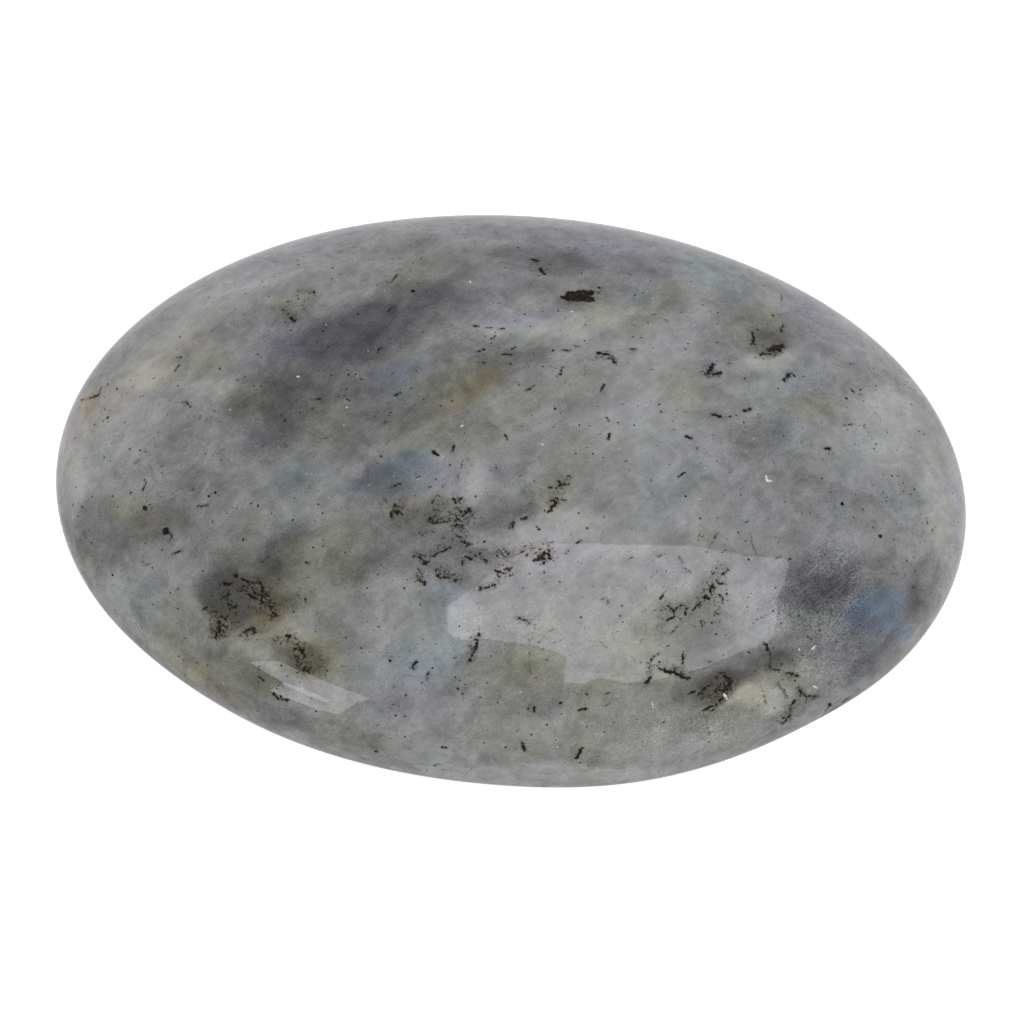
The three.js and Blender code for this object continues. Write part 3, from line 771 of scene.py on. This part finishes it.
        (505, 345, 30, 18, 15, 0.25), (290, 318, 7, 6, 0, 0.8), (284, 311, 5, 4, 0, 0.6),
        (300, 300, 20, 9, 25, 0.35), (314, 293, 5, 4, 30, 0.7), (534, 261, 6, 4, 0, 0.8),
        (543, 271, 5, 5, -40, 0.7), (347, 400, 8, 4, 20, 0.6), (95, 398, 13, 4, 20, 0.6),
        (188, 404, 7, 4, 10, 0.5), (460, 687, 12, 12, 0, 0.3), (575, 695, 20, 12, 0, 0.25),
        (866, 398, 20, 18, 0, 0.2), (150, 507, 10, 6, 0, 0.4), (900, 490, 26, 14, 20, 0.25),
        (908, 570, 28, 20, 20, 0.25), (718, 415, 8, 5, 10, 0.5), (400, 330, 90, 30, 28, 0.12),
        (270, 390, 50, 40, 30, 0.12),
    ],
    "scratches": [
        (826, 590, 60, 46, 40, 1.25), (850, 650, 50, 40, 40, 0.7), (760, 700, 80, 36, 20, 0.56),
        (640, 620, 150, 70, 0, 0.35), (320, 700, 90, 40, -25, 0.4), (470, 660, 120, 60, 0, 0.3),
        (300, 360, 120, 60, 30, 0.3), (800, 420, 110, 80, 30, 0.25), (180, 460, 90, 90, 0, 0.25),
        (650, 738, 90, 36, 0, 0.63),
    ],
    "stainSpread": 1.5,  # the brown stain round the crumbs is this much wider
    "depthShare": 1.5,  # how deep a cloud goes, as a share of its half length
    "warps": [(7.0, 0.4), (2.2, 0.5), (0.9, 0.2)],  # wave length and shift of the cloud edges, mm
    "edge": (0.9, 2.2),  # how fast a cloud fades, and how sharply
    "limits": (-1.12, 1.3),  # of the clouds added up
    "seed": 17,
    # clouds on the sides that the photograph doesn't show
    "hiddenCount": 72,
    "hiddenFacing": -0.12,  # turned at least this far from the camera
    # the blue flash among these kinds is painted sheen
    "hiddenKinds": [
        "shade", "shade", "shade", "shade", "shade", "shade", "olive", "olive", "olive",
        "teal", "teal", "violet", "rust", "flash", "crumbs", "crumbs",
    ],
    "hiddenTurn": 0.55,  # radians from +X towards +Y
    "hiddenLengths": (1.8, 5.5),  # half lengths in mm
    "hiddenWidths": (0.35, 0.8),  # shares of the half length
    "hiddenDepth": 0.8,  # as a share of the half length
    "hiddenStrengths": (0.3, 0.8),
    "hiddenDark": 0.62,  # share of the shade clouds that darken
}
cloudNames = ("shade", "olive", "rust", "teal", "violet", "flash", "crumbs", "scratches")


def cloudField(points, rows):
    field = np.zeros(len(points))
    drop, power = stoneClouds["edge"]
    for middle, right, up, back, halves, strength in rows:
        offset = points - np.array(middle)
        far = (offset @ np.array(right) / halves[0]) ** 2
        far += (offset @ np.array(up) / halves[1]) ** 2
        far += (offset @ np.array(back) / halves[2]) ** 2
        field += strength * np.exp(-drop * far ** power)
    return field


def castClouds(rows):
    clouds = []
    for x, y, long, wide, slant, strength in rows:
        angle = math.radians(slant)
        right = cameraRight * math.cos(angle) + cameraUp * math.sin(angle)
        up = cameraUp * math.cos(angle) - cameraRight * math.sin(angle)
        deep = max(long, wide) * stoneClouds["depthShare"]
        halves = [long * pixelSize, wide * pixelSize, deep * pixelSize]
        clouds.append((onStone(x, y)[0], right, up, towardCamera, halves, strength))
    return clouds


def hiddenClouds():
    draw = random.Random(stoneClouds["seed"])
    turn = stoneClouds["hiddenTurn"]
    found = {name: [] for name in cloudNames}
    count = 0
    while count < stoneClouds["hiddenCount"]:
        i = draw.randrange(len(plainPoints))
        normal = Vector(plainNormals[i])
        if normal.dot(towardCamera) > stoneClouds["hiddenFacing"]:
            continue
        count += 1
        kind = draw.choice(stoneClouds["hiddenKinds"])
        right = Vector((math.cos(turn), math.sin(turn), 0))
        right = (right - normal * right.dot(normal)).normalized()
        long = draw.uniform(*stoneClouds["hiddenLengths"]) * millimetre
        strength = draw.uniform(*stoneClouds["hiddenStrengths"])
        if kind == "shade" and draw.random() < stoneClouds["hiddenDark"]:
            strength = -strength
        wide = long * draw.uniform(*stoneClouds["hiddenWidths"])
        halves = [long, wide, long * stoneClouds["hiddenDepth"]]
        found[kind].append((Vector(plainPoints[i]), right, normal.cross(right), normal, halves, strength))
    return found


unseenClouds = hiddenClouds()
warpedPoints = shifted(stonePoints, stoneClouds["warps"])
stoneFields = {}
for fieldName in cloudNames:
    fieldRows = castClouds(stoneClouds[fieldName]) + unseenClouds[fieldName]
    stoneFields[fieldName] = np.clip(cloudField(warpedPoints, fieldRows), *stoneClouds["limits"])
stainRows = []
for middle, right, up, back, halves, strength in castClouds(stoneClouds["crumbs"]) + unseenClouds["crumbs"]:
    wider = [half * stoneClouds["stainSpread"] for half in halves]
    stainRows.append((middle, right, up, back, wider, strength))
stoneFields["stain"] = np.clip(cloudField(warpedPoints, stainRows), 0, stoneClouds["limits"][1])
stoneFields["ink"] = inkGap
stoneFields["dot"] = dotGap
stoneFields["fleck"] = fleckGap
stoneFields["vein"] = veinGap
print("clouds painted:", ", ".join(stoneFields))


# small relief: waves from polishing, shallow pits at dark mineral, the chip on the near rim
def reliefHeights(points, normals):
    length = stoneForm["waveLength"] * millimetre
    waves = np.array([noise.noise(Vector(p / length)) for p in points])
    height = stoneForm["waveHeight"] * millimetre * waves
    inside = np.clip(-np.minimum(inkGap, dotGap) / stoneForm["pitSlope"], 0, 1)
    height -= stoneForm["pitDepth"] * millimetre * inside * inside * (3 - 2 * inside)
    chip = stoneForm["chip"]
    place = np.array(onStone(*chip["pixel"])[0])
    away = np.linalg.norm(points - place, axis=1) / (chip["reach"] * millimetre)
    height -= chip["depth"] * millimetre * np.exp(-away ** 4)
    return points + normals * height[:, None]


def buildStone():
    mesh = bpy.data.meshes.new("polished_stone")
    ball.to_mesh(mesh)
    ball.free()
    mesh.vertices.foreach_set("co", reliefHeights(stonePoints, stoneNormals).astype(np.float32).ravel())
    mesh.polygons.foreach_set("use_smooth", [True] * len(mesh.polygons))
    for name, field in stoneFields.items():
        layer = mesh.attributes.new(name, "FLOAT", "POINT")
        layer.data.foreach_set("value", field.astype(np.float32))
    mesh.update()
    stone = bpy.data.objects.new("polished_stone", mesh)
    bpy.context.collection.objects.link(stone)
    return stone


# stone: the finish

stoneFinish = {
    "plain": (0.212, 0.214, 0.202, 1),
    "slate": (0.029, 0.029, 0.031, 1),
    "pale": (0.356, 0.357, 0.339, 1),
    "ink": (0.011, 0.010, 0.008, 1),
    "inkBrown": (0.042, 0.029, 0.019, 1),
    "stain": (0.050, 0.046, 0.026, 1),
    "vein": (0.080, 0.075, 0.046, 1),
    "fleck": (0.66, 0.66, 0.64, 1),
    # what each tint multiplies the stone's colour by
    "tints": {
        "olive": (0.95, 0.945, 0.74, 1),
        "rust": (1.10, 0.89, 0.70, 1),
        "teal": (0.80, 1.00, 1.05, 1),
        "violet": (0.97, 0.965, 1.13, 1),
        # the blue flash: the sheen of labradorescence painted as a tint
        "flash": (0.42, 0.80, 1.45, 1),
    },
    # sizes of the noises that make the grain, mm
    "sizes": {
        "wander": 4.0, "broad": 3.0, "patches": 1.5, "mottle": 0.9, "curl": 0.55,
        "streak": 0.30, "ragged": 0.24, "fine": 0.12, "lines": 0.085,
    },
    "wanderShift": 2.4,  # mm
    "tintDrift": 0.9,
    "unevenness": {"broad": 1.3, "mottle": 1.4, "patches": 0.3},
    "slateCalm": 0.45,  # share of the unevenness left in the darkest slate
    # degrees from +X towards +Y
    "grainTurn": 33,
    "lineTurn": 52,
    "crackTurn": 62,
    # spacing and half width of single grains, mm
    "grains": (0.58, 0.085),
    "dashes": (0.5, 0.06),
    "roughness": 0.035,
    "ior": 1.56,
    "dullRoughness": 0.8,
    "dullSpecular": 0.06,
}


def paintStone():
    material, wire = newMaterial("labradorite_polish")
    field = {n: wire.make("ShaderNodeAttribute", {"attribute_name": n}, out="Fac") for n in stoneFields}
    place = wire.make("ShaderNodeTexCoord", out="Object").scaled(1 / millimetre)  # millimetres

    def cloudy(where, name, detail=3, rough=0.55):
        scale = 1 / stoneFinish["sizes"][name]
        values = {"Vector": where, "Scale": scale, "Detail": detail, "Roughness": rough}
        return wire.make("ShaderNodeTexNoise", None, values)

    # streaks follow the cleavage of the feldspar and wander a little
    wander = cloudy(place, "wander", 1).also("Color")
    bentValues = {0: wander, 1: [stoneFinish["wanderShift"]] * 3, 2: place}
    bent = wire.make("ShaderNodeVectorMath", {"operation": "MULTIPLY_ADD"}, bentValues)

    def along(where, stretch, slant):
        values = {"Vector": where, "Rotation": (0, 0, math.radians(slant)), "Scale": (stretch, 1, 1)}
        return wire.make("ShaderNodeMapping", {"vector_type": "TEXTURE"}, values)

    grainTurn = stoneFinish["grainTurn"]
    broad = cloudy(along(bent, 1.9, grainTurn), "broad", 2)
    mottle = cloudy(along(bent, 1.15, grainTurn), "mottle", 4, 0.65)
    streak = cloudy(along(place, 9.0, grainTurn + 8), "streak", 1)
    fine = cloudy(place, "fine", 1, 0.7)
    ragged = cloudy(place, "ragged", 3, 0.75)

    patches = cloudy(bent, "patches", 4, 0.6).ramp(0.44, 0.56)  # flat inside, with clear edges
    amounts = stoneFinish["unevenness"]
    uneven = amounts["broad"] * (broad - 0.5) + amounts["mottle"] * (mottle - 0.5)
    uneven = uneven + amounts["patches"] * (patches - 0.5)
    calm = stoneFinish["slateCalm"]
    # shade holds the stone's tone, with the painted shade and highlight along the rim in it
    shade = field["shade"] + uneven * (calm + (1 - calm) * field["shade"].ramp(-1.1, 0))
    colour = wire.mix(shade.ramp(0, -1.3), stoneFinish["plain"], stoneFinish["slate"])
    colour = wire.mix(shade.ramp(0, 1.1), colour, stoneFinish["pale"])
    drift = wire.make("ShaderNodeSeparateColor", None, {0: wander})
    drifts = {"olive": drift - 0.5, "teal": drift.also(1) - 0.5, "violet": 0.5 - drift}
    # the blue flash among the tints is the stone's sheen painted into its colour
    for name, tint in stoneFinish["tints"].items():
        amount = field[name] * (0.4 + 1.6 * mottle)
        if name in drifts:
            amount = amount + stoneFinish["tintDrift"] * drifts[name]
        colour = wire.mix(amount.ramp(0, 1.0), colour, tint, "MULTIPLY")

    # pale lines left by the polishing
    lines = cloudy(along(place, 40, stoneFinish["lineTurn"]), "lines", 1).step(0.58, 0.70)
    scuffed = field["scratches"].ramp(0.5, 1.2)
    grainy = (0.52 - 0.6 * field["shade"] + 1.6 * scuffed) * (fine - 0.5)  # darker stone shows more grain
    grainy = grainy + (0.4 - 0.25 * field["shade"] + 0.7 * scuffed) * (ragged - 0.5)
    tone = 1 + 0.25 * (streak - 0.5) + grainy + 0.6 * field["scratches"] * lines
    colour = colour.scaled(tone)

    # single grains cut by the surface, some dark and some pale
    def cutGrains(where, size, half):
        cell = wire.make("ShaderNodeTexVoronoi", None, {"Vector": where, "Scale": 1 / size})
        pick = wire.make("ShaderNodeSeparateColor", None, {0: cell.also("Color")})
        return (half / size * (0.25 + pick.also(1)) - cell).step(0, 0.03), pick

    grain, pick = cutGrains(place, *stoneFinish["grains"])
    dash, dashPick = cutGrains(along(place, 3.5, grainTurn - 8), *stoneFinish["dashes"])
    colour = wire.mix(0.28 * grain * pick.step(0.08, 0.06), colour, stoneFinish["fleck"])
    specks = grain * (pick + 2.5 * (broad - 0.5)).step(0.48, 0.50)
    dashes = dash * (dashPick - 2.5 * (mottle - 0.5)).step(0.64, 0.66)

    # dark mineral: brown stain, thin cracks, crumbs, and larger pieces with ragged edges
    stain = (field["stain"] * (0.35 + 0.85 * ragged.ramp(0.42, 0.58))).ramp(0.25, 1.25)
    colour = wire.mix(0.85 * stain, colour, stoneFinish["stain"])
    vein = (field["vein"] - 0.6 * (ragged - 0.5)).step(0.06, -0.05)
    colour = wire.mix(0.8 * vein, colour, stoneFinish["vein"])
    edge = field["ink"] - 0.5 * (ragged - 0.5)
    colour = wire.mix(edge.step(0.18, 0.0) * 0.32, colour, stoneFinish["inkBrown"])
    ink = edge.step(0.03, -0.035)
    dots = (field["dot"] - 0.3 * (ragged - 0.5)).step(0.03, -0.03)
    curl = cloudy(along(bent, 1.5, stoneFinish["crackTurn"]), "curl", 2, 0.6)
    fold = wire.make("ShaderNodeMath", {"operation": "ABSOLUTE"}, {0: curl - 0.5})
    cracks = (0.027 * field["crumbs"] * ragged.ramp(0.42, 0.58) - fold).step(0.003, 0.009)
    crumbs = (ragged + 0.12 * field["crumbs"]).step(0.645, 0.69)
    dark = ink
    for layer in (0.9 * crumbs, 0.95 * cracks, dots, 0.9 * specks, 0.8 * dashes):
        dark = wire.combine("MAXIMUM", dark, layer)
    mineral = wire.mix(ragged.step(0.40, 0.52), stoneFinish["inkBrown"], stoneFinish["ink"])
    colour = wire.mix(dark, colour, mineral)
    fleck = (field["fleck"] - 0.6 * (ragged - 0.5)).step(0.05, -0.03)
    colour = wire.mix(fleck, colour, stoneFinish["fleck"])

    # the dark mineral takes no polish
    roughness = stoneFinish["roughness"] + 0.06 * (fine - 0.5)
    polishValues = {"Base Color": colour, "Roughness": roughness, "IOR": stoneFinish["ior"]}
    polish = wire.make("ShaderNodeBsdfPrincipled", None, polishValues)
    dullValues = {"Base Color": colour, "Roughness": stoneFinish["dullRoughness"]}
    dullValues["Specular IOR Level"] = stoneFinish["dullSpecular"]
    dull = wire.make("ShaderNodeBsdfPrincipled", None, dullValues)
    surface = wire.make("ShaderNodeMixShader", None, {0: 0.96 * dark, 1: polish, 2: dull})
    wire.make("ShaderNodeOutputMaterial", None, {"Surface": surface})
    return material


stone = buildStone()
stone.data.materials.append(paintStone())
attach(stone, "root")
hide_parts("stone")
print("stone finished with", len(stone.data.polygons), "faces")


# studio: table, soft boxes and the room's light

studio = {
    "tableSize": 6.0,  # metres
    "tableColour": (0.86, 0.86, 0.86, 1),
    "tableGlow": 0.60,  # lit from under, as a photo table is
    # what the room gives from each side; below stands for the table, which isn't mirrored in the stone
    "below": (0.42, 0.42, 0.43, 1),
    "belowFar": (0.80, 0.79, 0.82, 1),
    "nearSide": (0.34, 0.34, 0.36, 1),
    "farSide": (1.0, 1.0, 1.04, 1),
    "ends": (1.18, 1.17, 1.22, 1),  # towards -X and +X
    "zenith": (0.66, 0.66, 0.68, 1),
    "roomStrength": 1.0,
    # where each side takes over, as shares of the direction along Y, X or Z
    "farSpan": (-0.9, 0.3),
    "endSpan": (0.45, 1.0),  # of the share along X squared
    "belowFarSpan": (0.08, 0.34),
    "belowSpan": (0.1, -0.2),
    "zenithSpan": (0.2, 0.9),
    "panelFloor": 0.004,  # metres above the table that the panels start at
}

# outlines of the light panels, as the pixels where their reflections show on the stone
softBoxes = {
    "overhead": {
        "outline": [
            (447, 607), (477, 585), (508, 561), (536, 544), (590, 543), (642, 544), (680, 545), (746, 556),
            (786, 558), (789, 566), (777, 598), (773, 632), (770, 641), (744, 650), (701, 668), (652, 681),
            (626, 683), (600, 677), (586, 684), (565, 682), (566, 670), (567, 656), (550, 650), (529, 644),
            (484, 639), (461, 640), (449, 634),
        ],
        "middle": (0.2, -0.2, 0.6),  # a point of the panel's plane
        "facing": (0, 0, -1),
        "colour": (0.94, 0.93, 1.0, 1),
        "strength": 2.7,
    },
    "overheadLobe": {
        "outline": [(447, 607), (477, 585), (479, 600), (478, 640), (461, 640), (449, 634)],
        "middle": (0.2, -0.2, 0.595),
        "facing": (0, 0, -1),
        "colour": (0.95, 0.94, 1.0, 1),
        "strength": 3.05,
    },
    "overheadEdge": {
        "outline": [
            (572, 561), (600, 557), (640, 553), (665, 549), (690, 546), (680, 545), (642, 544), (590, 543),
            (578, 546),
        ],
        "middle": (0.2, -0.2, 0.595),
        "facing": (0, 0, -1),
        "colour": (0.97, 0.97, 1.0, 1),
        "strength": 3.1,
    },
    "lowLeft": {
        "outline": [
            (250, 662), (277, 661), (310, 675), (328, 683), (371, 698), (356, 704), (347, 709), (338, 715),
            (306, 705), (282, 696), (269, 690), (286, 684),
        ],
        "middle": (-0.065, -0.11, 0.02),
        "facing": (0.51, 0.86, 0),
        "colour": (0.98, 0.97, 1.0, 1),
        "strength": 2.6,
    },
    "lowLeftEdge": {
        "outline": [(282, 682), (300, 687), (330, 700), (327, 703), (300, 692), (284, 685)],
        "middle": (-0.063, -0.107, 0.02),
        "facing": (0.51, 0.86, 0),
        "colour": (1.0, 1.0, 1.0, 1),
        "strength": 4.6,
    },
}


def mirrored(x, y):
    place, normal = onStone(x, y)
    ray = pixelRay(x, y)
    return place, ray - 2 * ray.dot(normal) * normal


def buildSoftBox(name, box):
    facing = Vector(box["facing"])
    corners = []
    for x, y in box["outline"]:
        place, ray = mirrored(x, y)
        away = (Vector(box["middle"]) - place).dot(facing) / ray.dot(facing)
        corner = place + ray * away
        corners.append((corner.x, corner.y, max(corner.z, studio["panelFloor"])))
    mesh = bpy.data.meshes.new("soft_box_" + name)
    mesh.from_pydata(corners, [], [list(range(len(corners)))])
    panel = bpy.data.objects.new("soft_box_" + name, mesh)
    bpy.context.collection.objects.link(panel)
    material, wire = newMaterial("soft_box_" + name)
    glow = wire.make("ShaderNodeEmission", None, {"Color": box["colour"], "Strength": box["strength"]})
    wire.make("ShaderNodeOutputMaterial", None, {"Surface": glow})
    mesh.materials.append(material)


def buildTable():
    mesh = bpy.data.meshes.new("table")
    half = studio["tableSize"] / 2
    corners = [(-half, -half, 0), (half, -half, 0), (half, half, 0), (-half, half, 0)]
    mesh.from_pydata(corners, [], [[0, 1, 2, 3]])
    table = bpy.data.objects.new("table", mesh)
    bpy.context.collection.objects.link(table)
    material, wire = newMaterial("pale_table")
    values = {"Base Color": studio["tableColour"], "Roughness": 0.6, "Specular IOR Level": 0.2}
    values.update({"Emission Color": (1, 1, 1, 1), "Emission Strength": studio["tableGlow"]})
    shader = wire.make("ShaderNodeBsdfPrincipled", None, values)
    wire.make("ShaderNodeOutputMaterial", None, {"Surface": shader})
    mesh.materials.append(material)
    table.visible_glossy = False


def lightRoom():
    world = bpy.data.worlds.new("room")
    bpy.context.scene.world = world
    world.use_nodes = True
    world.node_tree.nodes.clear()
    wire = Wire(world.node_tree)
    aim = wire.make("ShaderNodeSeparateXYZ", None, {0: wire.make("ShaderNodeTexCoord", out="Generated")})
    colour = wire.mix(aim.also(1).ramp(*studio["farSpan"]), studio["nearSide"], studio["farSide"])
    colour = wire.mix((aim * aim).step(*studio["endSpan"]), colour, studio["ends"])
    low = wire.mix(aim.also(1).ramp(*studio["belowFarSpan"]), studio["below"], studio["belowFar"])
    colour = wire.mix(aim.also(2).step(*studio["belowSpan"]), colour, low)
    colour = wire.mix(aim.also(2).step(*studio["zenithSpan"]), colour, studio["zenith"])
    sky = wire.make("ShaderNodeBackground", None, {"Color": colour, "Strength": studio["roomStrength"]})
    wire.make("ShaderNodeOutputWorld", None, {"Surface": sky})


buildTable()
for boxName, box in softBoxes.items():
    buildSoftBox(boxName, box)
lightRoom()
bpy.context.scene.view_settings.view_transform = "Standard"
print("studio lit")
